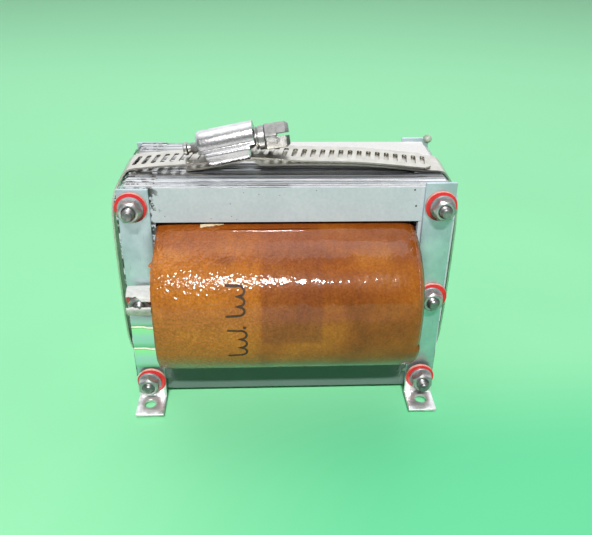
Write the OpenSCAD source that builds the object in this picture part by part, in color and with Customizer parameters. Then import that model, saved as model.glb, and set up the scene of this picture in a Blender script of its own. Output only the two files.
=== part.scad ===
// Open-frame tube amplifier transformer: an interleaved wide-window core with one
// long coil on its horizontal middle leg, flat clamping straps with six through
// bolts, four L feet and a worm-drive band clamp around the core.
// Millimetres, +Z up, +X to the right, front towards -Y. The origin is on the
// floor, at the centre of the four foot holes.

/* [Core] */
// Width of the core
core_w = 109; // [96:1:120]
// Height of the core
core_h = 80; // [76:1:88]
// Depth of the lamination stack
stack_d = 42; // [35:7:49]
// Width of the outer legs, half of the middle leg
limb_w = 12; // [11:0.5:13]
// Number of packs that the sheets are interleaved in, an odd number
packs = 7; // [5:2:13]
// Corner cut of the sheets
corner_cut = 3; // [2:0.5:4]
// Height of the core's underside over the floor
core_lift = 3; // [3:0.5:6]

/* [Coil] */
// How far the coil stands out in front of and behind the core
coil_bulge = 24; // [18:1:28]
// Wall of the card tube that the coil is wound on
tube_wall = 1.2; // [0.8:0.2:2]
// Thickness of the outer paper wrap
wrap_t = 0.8; // [0.6:0.1:1.5]
// How far the wrap stands past the winding at each end
wrap_margin = 1.6; // [0.5:0.1:3]

/* [Clamping straps and feet] */
// Width of a strap and of a foot
strap_w = 10; // [9:0.5:11]
// Thickness of a strap
strap_t = 1.2; // [1:0.1:2]
// Length of a strap
strap_len = 79.6; // [78:0.1:80]
// How far the right straps are set higher than the left ones
right_strap_rise = 1.8; // [0:0.1:2]
// Thickness of a foot
foot_t = 1; // [0.8:0.1:1.5]
// Length of a foot's flange, from the front of its leg
foot_flange = 10.9; // [10:0.1:14]
// Diameter of the screw hole in a foot
foot_hole_d = 4.2; // [3.5:0.1:4.5]

/* [Bolts] */
// Diameter of the through bolts
bolt_d = 4; // [4:0.5:4]
// Distance of the bolts from the core's side edges
bolt_inset_x = 5.2; // [5:0.1:6]
// Distance of the top and bottom bolts from the core's top and bottom
bolt_inset_z = 6; // [5.5:0.1:6.5]
// How far a bolt's thread stands out of its nut, on average
bolt_stub = 2.2; // [1.8:0.1:4]
// Outside diameter of the red fibre washers
fibre_d = 10.2; // [10:0.1:11]

/* [Band clamp] */
// Width of the clamp band
band_w = 14.2; // [9:0.1:14.5]
// Thickness of the clamp band
band_t = 0.6; // [0.5:0.05:0.6]
// Distance from slot to slot
slot_pitch = 3.11; // [3:0.01:3.4]
// Tilt of the screw housing
housing_tilt = 12.2; // [12:0.1:12.4]
// Tilt of the screw in its housing
screw_tilt = 9; // [8.9:0.1:9.1]

/* [Hidden] */
$fn = 48;
eps = 0.01;
core_z0 = core_lift;
core_top = core_lift + core_h;
tongue_h = 2 * limb_w;
window_h = (core_h - tongue_h - 2 * limb_w) / 2;
window_w = core_w - 2 * limb_w;
mid_z = core_lift + core_h / 2;
pack_d = stack_d / packs;
front_y = -stack_d / 2;

bolt_x = core_w / 2 - bolt_inset_x;
bolt_hole_d = bolt_d + 0.4;
row_z = [core_top - bolt_inset_z, mid_z, core_z0 + bolt_inset_z];
ROWS = ["top", "mid", "bottom"];
SIDES = ["left", "right"];
ENDS = ["front", "back"];
// How much longer each stub is than the average, and how each nut is turned,
// in rows from the top, left and right
stub_more = [[0.4, -0.4], [-0.8, -0.7], [-1.2, 0.6]];
nut_turn = [[0, -18], [10, 28], [31, 25]];
// How far the loose fibre washers of the front sit off their bolts
fibre_off = [[0, -0.3], [0.2, 0.5], [0.6, -0.3]];
fibre_t = 1.2;
fibre_hole_d = 5.2;
flat_t = 0.8;
flat_d = 8.1;
nut_af = 6.6;
nut_t = 3.2;
head_t = 2.8;

strap_x = core_w / 2 - 0.7 - strap_w / 2;
foot_leg_h = bolt_inset_z + core_lift + 5;
foot_hole_out = 5;
foot_bend = 1.2;

coil_len = window_w - 0.6;
coil_half_h = window_h + tongue_h / 2 - 0.5;
coil_half_d = stack_d / 2 + coil_bulge;

// ---- helpers -------------------------------------------------------------

// -1 for the left or front one, +1 for the right or back one
function side(name) = (name == "left" || name == "front") ? -1 : 1;
function lerp(a, b, t) = a + (b - a) * t;

// A box given by its low and high corners
module span(lo, hi) {
    translate(lo) cube(hi - lo);
}

// A cylinder along Y
module rod_y(d, y0, y1) {
    translate([0, y0, 0]) rotate([-90, 0, 0]) cylinder(d = d, h = y1 - y0);
}

// A rectangle with round corners, centred
module round_rect(w, h, r) {
    square([w - 2 * r, h], center = true);
    square([w, h - 2 * r], center = true);
    for (x = [-1, 1], z = [-1, 1])
        translate([x * (w / 2 - r), z * (h / 2 - r)]) circle(r = r);
}

// ---- core ----------------------------------------------------------------

// The sheets are laid in packs: in even packs the three bars run through to
// the core's sides, in odd packs the two limbs run from top to bottom.
module pack_slab(i, x0, x1, z0, z1) {
    y0 = front_y + i * pack_d;
    span([x0, y0, z0], [x1, y0 + pack_d, z1]);
}

module bolt_holes() {
    for (x = [-bolt_x, bolt_x], z = row_z)
        translate([x, 0, z]) rod_y(bolt_hole_d, front_y - 1, -front_y + 1);
}

module corner_cuts() {
    for (x = [-1, 1], z = [core_z0, core_top])
        translate([x * core_w / 2, 0, z]) rotate([0, 45, 0])
            cube([corner_cut * sqrt(2), stack_d + 2, corner_cut * sqrt(2)], center = true);
}

// A bar between the heights z0 and z1, with fingers at its ends
module core_bar(z0, z1) {
    color("silver") difference() {
        for (i = [0 : packs - 1]) {
            half = (i % 2 == 0) ? core_w / 2 : window_w / 2;
            pack_slab(i, -half, half, z0, z1);
        }
        corner_cuts();
        bolt_holes();
    }
}

module core_top_bar() { core_bar(core_top - limb_w, core_top); }
module core_tongue() { core_bar(mid_z - limb_w, mid_z + limb_w); }
module core_bottom_bar() { core_bar(core_z0, core_z0 + limb_w); }

// A limb: whole in the odd packs, two blocks beside the windows in the others
module core_limb(s) {
    x0 = (s < 0) ? -core_w / 2 : window_w / 2;
    color("silver") difference() {
        for (i = [0 : packs - 1])
            if (i % 2 == 1)
                pack_slab(i, x0, x0 + limb_w, core_z0, core_top);
            else
                for (z = [core_z0 + limb_w, mid_z + limb_w])
                    pack_slab(i, x0, x0 + limb_w, z, z + window_h);
        corner_cuts();
        bolt_holes();
    }
}

// ---- coil ----------------------------------------------------------------

// Outline of the coil in the YZ plane, drawn in by inset: full and flat on top,
// rounder towards the bottom.
function coil_point(a, inset) =
    let (n = (sin(a) > 0) ? 2.9 : 2.15, c = cos(a), s = sin(a))
    [sign(c) * (coil_half_d - inset) * pow(abs(c), 2 / n),
     sign(s) * (coil_half_h - inset) * pow(abs(s), 2 / n)];

module coil_outline(inset) {
    polygon([for (i = [0 : 71]) coil_point(i * 5 + 2.5, inset)]);
}

module along_x(len) {
    translate([-len / 2, 0, mid_z]) rotate([90, 0, 90]) linear_extrude(len) children();
}

module coil_tube() {
    color("peru") along_x(coil_len) difference() {
        square([stack_d + 0.4 + 2 * tube_wall, tongue_h + 0.4 + 2 * tube_wall], center = true);
        square([stack_d + 0.4, tongue_h + 0.4], center = true);
    }
}

module coil_winding() {
    color("chocolate") along_x(coil_len - 2 * wrap_margin) difference() {
        coil_outline(wrap_t);
        square([stack_d + 0.4 + 2 * tube_wall, tongue_h + 0.4 + 2 * tube_wall], center = true);
    }
}

module coil_wrap() {
    color("darkorange") along_x(coil_len) difference() {
        coil_outline(0);
        coil_outline(wrap_t);
    }
}

// ---- straps and feet -------------------------------------------------------

function strap_low(s) = core_z0 + 0.2 + (s > 0 ? right_strap_rise : 0);
function strap_top(s) = strap_low(s) + strap_len;

module strap(e, s) {
    z0 = strap_low(s);
    y0 = (e < 0) ? front_y - strap_t : -front_y;
    color("lightsteelblue") difference() {
        span([s * strap_x - strap_w / 2, y0, z0],
             [s * strap_x + strap_w / 2, y0 + strap_t, z0 + strap_len]);
        for (z = row_z)
            translate([s * bolt_x, 0, z]) rod_y(bolt_hole_d, y0 - 1, y0 + strap_t + 1);
    }
}

// Side view of a foot: a leg, a round bend and a flange on the floor. The
// origin is at the back of the leg, on the floor.
module foot_profile() {
    r = foot_bend;
    translate([0, r]) square([foot_t, foot_leg_h - r]);
    translate([r, 0]) square([foot_t + foot_flange - r, foot_t]);
    intersection() {
        translate([r, r]) difference() {
            circle(r = r);
            circle(r = r - foot_t);
        }
        square([r, r]);
    }
}

module foot(e, s) {
    leg_y = front_y - strap_t;
    color("gainsboro") mirror([0, e > 0 ? 1 : 0, 0]) difference() {
        translate([s * strap_x - strap_w / 2, leg_y, 0]) rotate([90, 0, 90])
            linear_extrude(strap_w) mirror([1, 0]) foot_profile();
        translate([s * bolt_x, 0, row_z[2]]) rod_y(bolt_hole_d, leg_y - foot_t - 1, leg_y + 1);
        translate([s * bolt_x, leg_y - foot_t - foot_hole_out, -1])
            cylinder(d = foot_hole_d, h = foot_t + 2);
    }
}

// ---- bolts, nuts and washers ----------------------------------------------

// Everything under a nut or a head, measured from the core's face
function stack_out(r) = strap_t + (r == 2 ? foot_t : 0);

module hexagon_y(af, y0, y1) {
    translate([0, y0, 0]) rotate([-90, 0, 0]) cylinder(d = af / cos(30), h = y1 - y0, $fn = 6);
}

module bolt(r, s) {
    under = -front_y + stack_out(r) + fibre_t + flat_t;
    tip_y = -under - nut_t - bolt_stub - stub_more[r][s > 0 ? 1 : 0];
    color("silver") translate([s * bolt_x, 0, row_z[r]]) {
        rod_y(bolt_d, tip_y + 0.5, under + eps);
        translate([0, tip_y + 0.5, 0]) rotate([90, 0, 0])
            cylinder(d1 = bolt_d, d2 = bolt_d - 1, h = 0.5);
        intersection() {
            hexagon_y(nut_af, under, under + head_t);
            translate([0, under, 0]) rotate([-90, 0, 0])
                cylinder(d1 = nut_af + 3.2, d2 = nut_af - 0.4, h = head_t);
        }
    }
}

module nut(r, s) {
    y1 = front_y - stack_out(r) - fibre_t - flat_t;
    turn = nut_turn[r][s > 0 ? 1 : 0];
    color("gray") translate([s * bolt_x, 0, row_z[r]]) rotate([0, turn, 0]) difference() {
        intersection() {
            hexagon_y(nut_af, y1 - nut_t, y1);
            translate([0, y1, 0]) rotate([90, 0, 0])
                cylinder(d1 = nut_af + 3.6, d2 = nut_af - 0.2, h = nut_t);
        }
        rod_y(bolt_d, y1 - nut_t - 1, y1 + 1);
    }
}

module washer(d, hole_d, t, y0) {
    difference() {
        rod_y(d, y0, y0 + t);
        rod_y(hole_d, y0 - 1, y0 + t + 1);
    }
}

module fibre_washer(e, r, s) {
    out = -front_y + stack_out(r);
    y0 = (e < 0) ? -out - fibre_t : out;
    off = (e < 0) ? fibre_off[r][s > 0 ? 1 : 0] : 0;
    color("crimson") translate([s * bolt_x + off, 0, row_z[r]])
        washer(fibre_d, fibre_hole_d, fibre_t, y0);
}

module flat_washer(e, r, s) {
    out = -front_y + stack_out(r) + fibre_t;
    y0 = (e < 0) ? -out - flat_t : out;
    color("silver") translate([s * bolt_x, 0, row_z[r]]) washer(flat_d, bolt_hole_d - 0.1, flat_t, y0);
}

module fibre_washers_back() { for (r = [0 : 2], s = [-1, 1]) fibre_washer(1, r, s); }
module flat_washers_front() { for (r = [0 : 2], s = [-1, 1]) flat_washer(-1, r, s); }
module flat_washers_back() { for (r = [0 : 2], s = [-1, 1]) flat_washer(1, r, s); }

// ---- band clamp ------------------------------------------------------------

// The band is one strip. Its plain end lies under the screw housing, it runs to
// the right, around the core, comes back through the housing and ends as a
// slotted tail on top of itself. The points are [x, height over the core's top],
// and the strip follows a spline that touches the middle of each leg of the route.
loop_route = [
    [-33, 0.45], [-30, 0.85], [-25, 1.6], [-19, 2.87], [-13, 4.15], [-11, 4.5],
    [-9, 2.6], [-7, 2.4], [-4, 2.4], [0, 2.6], [4, 2.75], [10, 2.8], [17, 2.75], [25, 2.5],
    [33, 1.9], [41, 1.05], [48, 0.42], [52, 0.5], [54.3, -1.6], [56.4, -5.5],
    [58.2, -10], [59, -17], [59.2, -40], [59, -63], [58.2, -70], [56.4, -74.5],
    [54.6, -78.6], [52.3, -80.45], [48, -80.45], [-48, -80.45], [-52.3, -80.45],
    [-54.6, -78.6], [-56.4, -74.5], [-58.2, -70], [-59, -63], [-59.2, -40],
    [-59, -17], [-58.2, -10], [-56.4, -5.5], [-54.3, -1.6], [-52, 0.73], [-48, 1.15]];
tail_route = [
    [-48, 1.15], [-42, 1.78], [-36, 2.22], [-30, 2.7], [-24, 3.3], [-17, 4.4], [-12.9, 5],
    [-9, 4.7], [-4, 4.5], [3, 3.9], [10, 3.68], [17, 3.62], [25, 3.35], [33, 2.75],
    [41, 1.9], [48.4, 1.2]];
route_steps = 3;

// The clamp sits a little in front of the core's middle and is slightly turned
clamp_y = -1.3;
clamp_turn = -0.83;
module clamp_place() {
    translate([0, clamp_y, 0]) rotate([0, 0, clamp_turn]) children();
}

// Points of the spline along a route
function spline(p) = concat(
    [p[0]],
    [for (i = [1 : len(p) - 2], k = [0 : route_steps - 1])
        let (t = k / route_steps, a = (p[i - 1] + p[i]) / 2, b = (p[i] + p[i + 1]) / 2)
        (1 - t) * (1 - t) * a + 2 * t * (1 - t) * p[i] + t * t * b],
    [(p[len(p) - 2] + p[len(p) - 1]) / 2, p[len(p) - 1]]);

function unit(v) = v / norm(v);
function path_normal(q, i) =
    let (d = unit(q[min(i + 1, len(q) - 1)] - q[max(i - 1, 0)])) [-d[1], d[0]];

// A strip of the band's thickness along the points q, across the band's width
module strip(q) {
    n = len(q);
    left = [for (i = [0 : n - 1]) q[i] + path_normal(q, i) * band_t / 2];
    right = [for (i = [n - 1 : -1 : 0]) q[i] - path_normal(q, i) * band_t / 2];
    translate([0, band_w / 2, core_top]) rotate([90, 0, 0])
        linear_extrude(band_w) polygon(concat(left, right));
}

slot_len = 7.8;
slot_w = 1.6;
slot_slant = 9;
slot_count = 32;
slot_first_x = 46.4;
single_count = 2;  // slots past the tail's start, where the strip lies in one layer

module slot_tool() {
    rotate([0, 0, -slot_slant]) {
        cube([slot_w, slot_len - slot_w, 12], center = true);
        for (y = [-1, 1])
            translate([0, y * (slot_len - slot_w) / 2, 0])
                cylinder(d = slot_w, h = 12, center = true, $fn = 16);
    }
}

// The tail's end has its two corners cut off
tail_cut = 2.4;
module tail_corner_tool() {
    end = tail_route[len(tail_route) - 1];
    for (y = [-1, 1])
        translate([end[0], y * band_w / 2, core_top + end[1]]) rotate([0, 0, 45])
            cube([tail_cut * sqrt(2), tail_cut * sqrt(2), 3], center = true);
}

module slot_row(i0, i1) {
    for (i = [i0 : i1])
        translate([slot_first_x - i * slot_pitch, 0, core_top + 3]) slot_tool();
}

module clamp_band() {
    color("gainsboro") clamp_place() difference() {
        union() {
            strip(spline(loop_route));
            difference() {
                strip(spline(tail_route));
                slot_row(0, slot_count - single_count - 1);
                tail_corner_tool();
            }
        }
        slot_row(slot_count - single_count, slot_count - 1);
    }
}

// A frame with its origin at the middle of the housing, at the height up over
// the core, and x along the housing or the screw, towards the head
axis_x = -19.9;
dome_up = 8.37;
screw_up = 7.6;
module tilted(up, tilt) {
    clamp_place() translate([axis_x, 0, core_top + up]) rotate([0, -tilt, 0]) children();
}
module rod_x(d, x0, x1) {
    translate([x0, 0, 0]) rotate([0, 90, 0]) cylinder(d = d, h = x1 - x0);
}

housing_len = 19.2;
housing_wall = 0.7;
dome_r = 4.9;
worm_r = 3.1;
// The barrel is open below barrel_low, but for its end walls
barrel_low = -0.8;
end_wall_low = [-2.6, -1.9];
// The saddle's skirts reach down to the lower layer of the band, which closes it
saddle_x = [-6.9, 7.9];
saddle_w = 15.6;
saddle_low = -5.7;
saddle_r = 1.2;
// Top of the room for the band, measured from the screw's axis
band_room = -3.15;

// A slice of the barrel between x0 and x1, above the height low
module barrel_slice(r, x0, x1, low) {
    intersection() {
        rod_x(2 * r, x0, x1);
        span([x0 - 1, -r - 1, low], [x1 + 1, r + 1, r + 1]);
    }
}

// Cuts the lower corners off the ends of the saddle, more at the left
module saddle_corner_tool() {
    a = saddle_x[0];
    b = saddle_x[1];
    rotate([90, 0, 0]) linear_extrude(saddle_w + 2, center = true) {
        polygon([[a - 1, saddle_low - 1], [a + 1.9, saddle_low - 1], [a + 1.9, saddle_low],
                 [a, saddle_low + 1.7], [a - 1, saddle_low + 1.7]]);
        polygon([[b + 1, saddle_low - 1], [b - 0.9, saddle_low - 1], [b - 0.9, saddle_low],
                 [b, saddle_low + 2], [b + 1, saddle_low + 2]]);
    }
}

module clamp_housing() {
    h = housing_len / 2;
    inside_r = dome_r - housing_wall;
    color("lightgray") difference() {
        tilted(dome_up, housing_tilt) difference() {
            union() {
                barrel_slice(dome_r, -h, h, barrel_low);
                barrel_slice(dome_r, -h, -h + housing_wall, end_wall_low[0]);
                barrel_slice(dome_r, h - housing_wall, h, end_wall_low[1]);
                difference() {
                    translate([saddle_x[0], 0, (saddle_low + barrel_low) / 2]) rotate([90, 0, 90])
                        linear_extrude(saddle_x[1] - saddle_x[0])
                            round_rect(saddle_w, barrel_low - saddle_low, saddle_r);
                    saddle_corner_tool();
                }
            }
            rod_x(2 * inside_r, -h + housing_wall, h - housing_wall);
            span([-h + housing_wall, -inside_r, saddle_low - 1],
                 [h - housing_wall, inside_r, barrel_low + 0.5]);
        }
        tilted(screw_up, screw_tilt) {
            rod_x(3.8, -h - 1, h + 1);
            span([-h - 1, -band_w / 2 - 0.05, saddle_low - 3], [h + 1, band_w / 2 + 0.05, band_room]);
        }
    }
}

// The worm, its pin with a riveted end at the left, the collars and the slotted
// hexagon head at the right
hex_x = [13.3, 21.1];
hex_af = 8;
head_slot_x = 17;
module clamp_screw() {
    h = housing_len / 2;
    color("silver") tilted(screw_up, screw_tilt) difference() {
        union() {
            rod_x(2 * worm_r, -7.2, h - 0.8);
            rod_x(3.4, -13, h + 1);
            rod_x(4.5, -14.4, -12.9);
            rod_x(7.6, h + 0.4, h + 0.9);
            rod_x(6.6, h + 0.8, h + 1.2);
            rod_x(8, h + 1.1, hex_x[0]);
            translate([hex_x[0] - 0.1, 0, 0]) rotate([0, 90, 0])
                cylinder(d = hex_af / cos(30), h = hex_x[1] - hex_x[0] + 0.1, $fn = 6);
        }
        span([head_slot_x, -6, -0.8], [hex_x[1] + 1, 6, 0.8]);
    }
}

// ---- paper pieces -----------------------------------------------------------

// A hardened drop on the top corner of the back right strap
bead_d = 3.5;
bead_out = 1.2;
module corner_bead() {
    color("darkseagreen") translate([strap_x + strap_w / 2 + bead_out - bead_d / 2, 0, 0]) difference() {
        translate([0, -front_y + 0.6, core_top + 1.1]) sphere(d = bead_d);
        span([-3, -front_y - 0.01, core_top - 3],
             [3, -front_y + strap_t + 0.01, strap_top(1) + 0.01]);
        span([-3, -front_y - 3, core_top - 3], [3, -front_y + 0.1, core_top + 0.01]);
    }
}

label_y = 5.7;
module paper_label() {
    color("white") span([-14, label_y, core_top], [51.2, -front_y, core_top + 0.2]);
}

// Two torn flaps of a seal over the middle left nut
module seal_flaps() {
    y1 = front_y - strap_t - fibre_t - flat_t;
    color("whitesmoke") translate([-bolt_x - 4.5, 0, mid_z]) {
        rotate([90, 0, 90]) linear_extrude(9) {
            polygon([[y1 - 3.5, 3.7], [y1 - 3.7, 3.7], [y1 - 0.4, 6.2], [y1 - 0.2, 6.2]]);
            polygon([[y1 - 3.5, -3.7], [y1 - 3.7, -3.7], [y1 - 0.4, -6.2], [y1 - 0.2, -6.2]]);
        }
    }
}

// ---- assembly ----------------------------------------------------------------

core_top_bar();
core_tongue();
core_bottom_bar();
core_limb(-1);  // core_limb_left
core_limb(1);  // core_limb_right
coil_tube();
coil_winding();
coil_wrap();
for (e = ENDS, s = SIDES) {
    strap(side(e), side(s));
    foot(side(e), side(s));
}
for (r = [0 : 2], s = SIDES) {
    bolt(r, side(s));
    nut(r, side(s));
    fibre_washer(-1, r, side(s));
}
fibre_washers_back();
flat_washers_front();
flat_washers_back();
clamp_band();
clamp_housing();
clamp_screw();
corner_bead();
paper_label();
seal_flaps();
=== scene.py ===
"""Power transformer of a valve amplifier: laminated core, coil, straps, feet and band clamp."""

import math
import random

import bmesh
import bpy
from mathutils import Matrix, Vector, noise


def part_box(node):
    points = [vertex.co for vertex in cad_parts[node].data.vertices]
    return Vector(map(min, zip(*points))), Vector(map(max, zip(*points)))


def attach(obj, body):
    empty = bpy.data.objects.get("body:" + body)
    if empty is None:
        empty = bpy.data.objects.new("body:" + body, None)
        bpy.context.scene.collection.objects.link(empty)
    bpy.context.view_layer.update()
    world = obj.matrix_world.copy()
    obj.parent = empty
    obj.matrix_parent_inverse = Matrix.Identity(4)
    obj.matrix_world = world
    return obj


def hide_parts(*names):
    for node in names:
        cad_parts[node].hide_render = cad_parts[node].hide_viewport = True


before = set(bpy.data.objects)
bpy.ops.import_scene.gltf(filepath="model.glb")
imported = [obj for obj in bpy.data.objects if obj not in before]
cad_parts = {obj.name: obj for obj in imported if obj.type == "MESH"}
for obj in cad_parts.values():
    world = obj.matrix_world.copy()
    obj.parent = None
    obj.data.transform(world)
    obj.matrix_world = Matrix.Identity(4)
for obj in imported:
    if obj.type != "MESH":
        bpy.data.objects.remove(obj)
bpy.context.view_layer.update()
scene = bpy.context.scene
scene.view_settings.view_transform = "Standard"


# ---- Camera ----
# It stands close in front of the transformer and a little above it, looks down at about
# thirty degrees, and is turned and rolled by a degree or so, as a hand holds it.
cam_place = Vector((-0.007621, -0.216383, 0.165728))
cam_pitch, cam_yaw, cam_roll = (math.radians(a) for a in (29.7503, 3.0889, 0.9794))
ahead = Vector((
    math.sin(cam_yaw) * math.cos(cam_pitch),
    math.cos(cam_yaw) * math.cos(cam_pitch),
    -math.sin(cam_pitch),
))
level = Vector((math.cos(cam_yaw), -math.sin(cam_yaw), 0.0))
above = level.cross(ahead)
across = math.cos(cam_roll) * level + math.sin(cam_roll) * above
above = math.cos(cam_roll) * above - math.sin(cam_roll) * level
cam_data = bpy.data.cameras.new("camera")
cam_data.sensor_width = 36.0
cam_data.lens = 40.802
cam = bpy.data.objects.new("camera", cam_data)
cam_turn = Matrix((across, above, -ahead)).transposed().to_4x4()
cam.matrix_world = Matrix.Translation(cam_place) @ cam_turn
scene.collection.objects.link(cam)
scene.camera = cam


# ---- Core ----
# A stack of half-millimetre silicon-steel sheets, punched as bars and limbs and laid
# crosswise so that the joints alternate from sheet to sheet. The faces carry a blue-grey
# insulating coat, and the sheared edges are bare and lie a little unevenly.
def feed(tree, socket, value):
    """Links a socket to another node's output, or sets it to a plain value."""
    if isinstance(value, bpy.types.NodeSocket):
        tree.links.new(value, socket)
    else:
        socket.default_value = value


def add_node(tree, kind, inputs=None, **settings):
    made = tree.nodes.new(kind)
    for key, value in settings.items():
        setattr(made, key, value)
    for key, value in (inputs or {}).items():
        feed(tree, made.inputs[key], value)
    return made


def maths(tree, operation, *values):
    made = add_node(tree, "ShaderNodeMath", operation=operation)
    for socket, value in zip(made.inputs, values):
        feed(tree, socket, value)
    return made.outputs[0]


def times(tree, value, *others):
    """The product of all these values."""
    for other in others:
        value = maths(tree, "MULTIPLY", value, other)
    return value


def remap(tree, value, low, high, to_low=0.0, to_high=1.0, smooth=False):
    """Carries the range from low to high over to another one, and holds its ends."""
    made = add_node(
        tree, "ShaderNodeMapRange", interpolation_type="SMOOTHSTEP" if smooth else "LINEAR",
    )
    for socket, number in zip(made.inputs, (value, low, high, to_low, to_high)):
        feed(tree, socket, number)
    return made.outputs[0]


def axes(tree, place):
    """A place's x, y and z, one output each."""
    return add_node(tree, "ShaderNodeSeparateXYZ", {"Vector": place}).outputs[:3]


def grain(tree, place, scale, detail=2.0, rough=0.5, stretch=None):
    """Noise in the object's own coordinates, scale in lumps per metre."""
    if stretch:
        place = add_node(tree, "ShaderNodeMapping", {"Vector": place, "Scale": stretch}).outputs[0]
    made = add_node(
        tree, "ShaderNodeTexNoise",
        {"Vector": place, "Scale": scale, "Detail": detail, "Roughness": rough},
    )
    return made.outputs[0]


def colours(tree, value, *stops):
    """A colour for each value, from (value, (r, g, b)) stops."""
    made = tree.nodes.new("ShaderNodeValToRGB")
    tree.links.new(value, made.inputs[0])
    bands = made.color_ramp.elements
    while len(bands) < len(stops):
        bands.new(1.0)
    for band, (at, colour) in zip(bands, stops):
        band.position = at
        band.color = (*colour, 1.0)
    return made.outputs[0]


def mix_colour(tree, share, one, other, blend="MIX"):
    made = add_node(tree, "ShaderNodeMix", data_type="RGBA", blend_type=blend)
    for i, value in ((0, share), (6, one), (7, other)):
        feed(tree, made.inputs[i], (*value, 1.0) if isinstance(value, tuple) else value)
    return made.outputs[2]


def bumps(tree, height, distance, strength=1.0, below=None):
    """A bumpy normal, distance metres high, over another one if there is one below."""
    made = add_node(
        tree, "ShaderNodeBump", {"Height": height, "Distance": distance, "Strength": strength},
    )
    if below:
        tree.links.new(below, made.inputs["Normal"])
    return made.outputs[0]


def new_finish(name, **sockets):
    """A new finish, its tree, its shader and the surface's place in the piece's coordinates."""
    made = bpy.data.materials.new(name)
    made.use_nodes = True
    tree = made.node_tree
    shader = tree.nodes["Principled BSDF"]
    for key, value in sockets.items():
        shader.inputs[key.replace("_", " ")].default_value = value
    place = add_node(tree, "ShaderNodeTexCoord").outputs["Object"]
    return made, tree, shader, place


def wire(tree, shader, **sockets):
    """Links outputs to the shader's sockets."""
    for key, value in sockets.items():
        tree.links.new(value, shader.inputs[key.replace("_", " ")])


def add_piece(name, bm, slot, finishes, stands_for=(), crease=35.0):
    """Turns a bmesh into a piece of the transformer. Edges sharper than crease stay sharp."""
    mesh = bpy.data.meshes.new(name)
    bm.to_mesh(mesh)
    bm.free()
    for finish in finishes:
        mesh.materials.append(finish)
    mesh.polygons.foreach_set("use_smooth", [True] * len(mesh.polygons))
    mesh.set_sharp_from_angle(angle=math.radians(crease))
    piece = bpy.data.objects.new(name, mesh)
    scene.collection.objects.link(piece)
    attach(piece, "root")
    if stands_for:
        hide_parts(*stands_for)
    return piece


core_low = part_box("core_bottom_bar")[0]
core_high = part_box("core_top_bar")[1]
core_mid = (core_low.z + core_high.z) / 2
sheet_t = 0.0005
limb_w = 0.012
corner_cut = 0.003
joint_gap = 0.0001

sheet_face, tree, shader, place = new_finish("sheet_face", Roughness=0.42)
px, py, pz = axes(tree, place)
mottle = grain(tree, place, 90, 4, 0.6)
fine = grain(tree, place, 900, 2)
tone = mix_colour(
    tree, 0.25,
    colours(tree, mottle, (0.3, (0.48, 0.53, 0.58)), (0.7, (0.56, 0.60, 0.65))),
    colours(tree, fine, (0.35, (0.44, 0.49, 0.53)), (0.65, (0.62, 0.65, 0.69))),
)
# Dark specks lie all over; beside the left strap they thicken into blotches, partly real specks
# and partly painted strap shadow, and the lowest bar gets a green painted shade
spots = remap(tree, grain(tree, place, 520, 3, 0.55), 0.72, 0.77)
# Partly painted shadow of the left strap: dark blotches gathered beside it
near_strap = remap(tree, px, -0.0385, -0.0437, smooth=True)
specks_and_strap_shade = maths(tree, "ADD", grain(tree, place, 420, 3, 0.6), times(tree, near_strap, 0.16))
specks_and_strap_shade = remap(tree, specks_and_strap_shade, 0.62, 0.70, smooth=True)
dark = maths(tree, "MAXIMUM", spots, times(tree, specks_and_strap_shade, near_strap))
tone = mix_colour(tree, dark, tone, (0.03, 0.035, 0.03))
# Painted shade: the lowest bar, in the coil's shadow, is darkened towards the green of the mat's
# bounce
painted_bar_shade = remap(tree, pz, 0.020, 0.018, 0.0, 0.78)
tone = mix_colour(tree, painted_bar_shade, tone, (0.035, 0.10, 0.06))
wire(tree, shader, Base_Color=tone, Normal=bumps(tree, fine, 0.00002, 0.5))

# Each sheet's edge has a brightness of its own, and a strip of them just before and under the
# clamp band is darkened as painted shadow and reflection of the band's dark underside
sheet_edge, tree, shader, place = new_finish("sheet_edge", Metallic=1.0)
px, py, pz = axes(tree, place)
number = maths(tree, "FLOOR", maths(tree, "DIVIDE", py, sheet_t))
sheet_value = add_node(
    tree, "ShaderNodeTexWhiteNoise", {"W": number}, noise_dimensions="1D",
).outputs[0]
streak = grain(tree, place, 1.0, 3, 0.6, stretch=(260, 2200, 260))
burr = grain(tree, place, 1.0, 2, 0.6, stretch=(1300, 2600, 1300))
value = maths(tree, "ADD", times(tree, sheet_value, 0.45), times(tree, streak, 0.55))
tone = colours(
    tree, value,
    (0.22, (0.12, 0.12, 0.12)), (0.48, (0.46, 0.45, 0.44)), (0.72, (0.86, 0.85, 0.84)),
)
# Painted shadow and reflection of the clamp band's underside on the core's top, right of the
# middle
painted_band_shadow = times(
    tree, remap(tree, py, -0.0150, -0.0125, 0.0, 0.75, smooth=True),
    remap(tree, py, 0.0015, -0.0015, smooth=True), remap(tree, px, -0.036, -0.018, smooth=True),
)
tone = mix_colour(tree, painted_band_shadow, tone, (0.03, 0.03, 0.03))
wire(
    tree, shader, Base_Color=tone,
    Roughness=remap(tree, streak, 0.3, 0.7, 0.12, 0.28),
    Normal=bumps(tree, burr, 0.00004, 0.6),
)

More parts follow.
